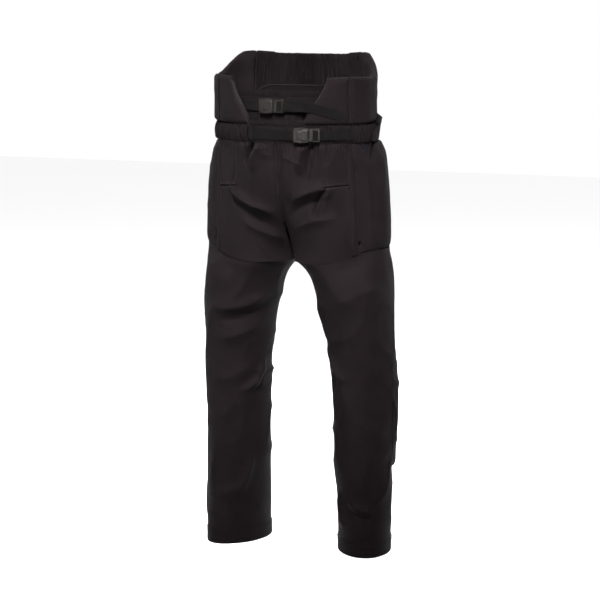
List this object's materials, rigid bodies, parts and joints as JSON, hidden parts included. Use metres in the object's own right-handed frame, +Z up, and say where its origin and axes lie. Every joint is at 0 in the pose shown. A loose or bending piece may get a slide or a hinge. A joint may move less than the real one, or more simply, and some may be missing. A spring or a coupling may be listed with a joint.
{
  "type": "protective over-trousers",
  "caption": "Padded protective over-trousers with a high kidney collar, buckled webbing belts, ruched waist, boxed hip pads and open legs.",
  "frame": {"origin": "centre of the waist opening, 1.0 m above the hems", "axes": "+Z up the body, -Y to the front, +X to the wearer's left"},
  "size_m": [0.4774, 0.2917, 1.1709],
  "materials": {
    "shell_cloth": "matt black woven nylon shell with soft creases",
    "stretch_cloth": "black elasticated cloth, gathered",
    "lining_cloth": "dark plain lining",
    "pad_foam": "grey closed-cell foam",
    "webbing": "black herringbone webbing",
    "buckle_plastic": "moulded black acetal with a slight sheen"
  },
  "bodies": {
    "trousers": {"collar_back_cover": "stretch_cloth", "inner_front_belt": "stretch_cloth", "waistband_front": "stretch_cloth", "waistband_left": "stretch_cloth", "waistband_right": "stretch_cloth", "waistband_back": "stretch_cloth", "front_panel_left": "shell_cloth", "front_panel_right": "shell_cloth", "back_panel_left": "shell_cloth", "back_panel_right": "shell_cloth", "fly_facing": "lining_cloth", "collar_back_foam": "pad_foam", "upper_webbing_left": "webbing", "upper_webbing_right": "webbing", "lower_webbing_left": "webbing", "lower_webbing_right": "webbing", "belt_loop_left": "webbing", "belt_loop_right": "webbing", "hip_fold_left": "shell_cloth", "hip_pad_cover_left": "shell_cloth", "collar_piping_left": "shell_cloth", "collar_wing_left_cover": "shell_cloth", "collar_side_left_cover": "shell_cloth", "collar_wing_left_foam": "pad_foam", "collar_side_left_foam": "pad_foam", "hip_pad_foam_left": "pad_foam", "hip_fold_right": "shell_cloth", "hip_pad_cover_right": "shell_cloth", "collar_piping_right": "shell_cloth", "collar_wing_right_cover": "shell_cloth", "collar_side_right_cover": "shell_cloth", "collar_wing_right_foam": "pad_foam", "collar_side_right_foam": "pad_foam", "hip_pad_foam_right": "pad_foam", "upper_socket": "buckle_plastic", "lower_socket": "buckle_plastic"},
    "upper_plug": {"upper_plug": "buckle_plastic", "upper_webbing_turn": "webbing"},
    "upper_prong_top": {"upper_prong_top": "buckle_plastic"},
    "upper_prong_bottom": {"upper_prong_bottom": "buckle_plastic"},
    "lower_plug": {"lower_plug": "buckle_plastic", "lower_webbing_turn": "webbing"},
    "lower_prong_top": {"lower_prong_top": "buckle_plastic"},
    "lower_prong_bottom": {"lower_prong_bottom": "buckle_plastic"},
    "thigh_left": {"thigh_front_left": "shell_cloth", "thigh_back_left": "shell_cloth", "knee_fold_left": "shell_cloth"},
    "shin_left": {"shin_front_left": "shell_cloth", "shin_back_left": "shell_cloth", "hem_band_left": "shell_cloth", "side_flap_left": "shell_cloth"},
    "thigh_right": {"thigh_front_right": "shell_cloth", "thigh_back_right": "shell_cloth", "knee_fold_right": "shell_cloth"},
    "shin_right": {"shin_front_right": "shell_cloth", "shin_back_right": "shell_cloth", "hem_band_right": "shell_cloth", "side_flap_right": "shell_cloth"}
  },
  "joints": [
    {"name": "hip_left", "type": "hinge", "parent": "trousers", "child": "thigh_left", "pos_m": [0.134, 0.036, -0.31], "axis": [-1, 0, 0], "range_deg": [-15, 40], "deforming": ["hip_fold_left"]},
    {"name": "knee_left", "type": "hinge", "parent": "thigh_left", "child": "shin_left", "pos_m": [0.158, 0.044, -0.58], "axis": [1, 0, 0], "range_deg": [0, 70], "deforming": ["knee_fold_left"]},
    {"name": "hip_right", "type": "hinge", "parent": "trousers", "child": "thigh_right", "pos_m": [-0.134, 0.036, -0.31], "axis": [-1, 0, 0], "range_deg": [-15, 40], "deforming": ["hip_fold_right"]},
    {"name": "knee_right", "type": "hinge", "parent": "thigh_right", "child": "shin_right", "pos_m": [-0.158, 0.044, -0.58], "axis": [1, 0, 0], "range_deg": [0, 70], "deforming": ["knee_fold_right"]},
    {"name": "upper_release", "type": "slide", "parent": "trousers", "child": "upper_plug", "axis": [0.9969, -0.078, 0], "range_m": [0, 0.032]},
    {"name": "upper_prong_top", "type": "hinge", "parent": "upper_plug", "child": "upper_prong_top", "pos_m": [-0.0039, -0.12016, 0.0626], "axis": [-0.078, -0.9969, 0], "range_deg": [0, 8], "stiffness_Nm_per_rad": 0.05},
    {"name": "upper_prong_bottom", "type": "hinge", "parent": "upper_plug", "child": "upper_prong_bottom", "pos_m": [-0.0039, -0.12016, 0.0434], "axis": [0.078, 0.9969, 0], "range_deg": [0, 8], "stiffness_Nm_per_rad": 0.05},
    {"name": "lower_release", "type": "slide", "parent": "trousers", "child": "lower_plug", "axis": [0.9582, 0.2862, 0], "range_m": [0, 0.032]},
    {"name": "lower_prong_top", "type": "hinge", "parent": "lower_plug", "child": "lower_prong_top", "pos_m": [0.07713, -0.11781, -0.0014], "axis": [0.2862, -0.9582, 0], "range_deg": [0, 8], "stiffness_Nm_per_rad": 0.05},
    {"name": "lower_prong_bottom", "type": "hinge", "parent": "lower_plug", "child": "lower_prong_bottom", "pos_m": [0.07713, -0.11781, -0.0206], "axis": [-0.2862, 0.9582, 0], "range_deg": [0, 8], "stiffness_Nm_per_rad": 0.05}
  ],
  "couplings": [
    {"joint": "upper_prong_bottom", "follows": "upper_prong_top", "ratio": 1},
    {"joint": "lower_prong_bottom", "follows": "lower_prong_top", "ratio": 1}
  ]
}
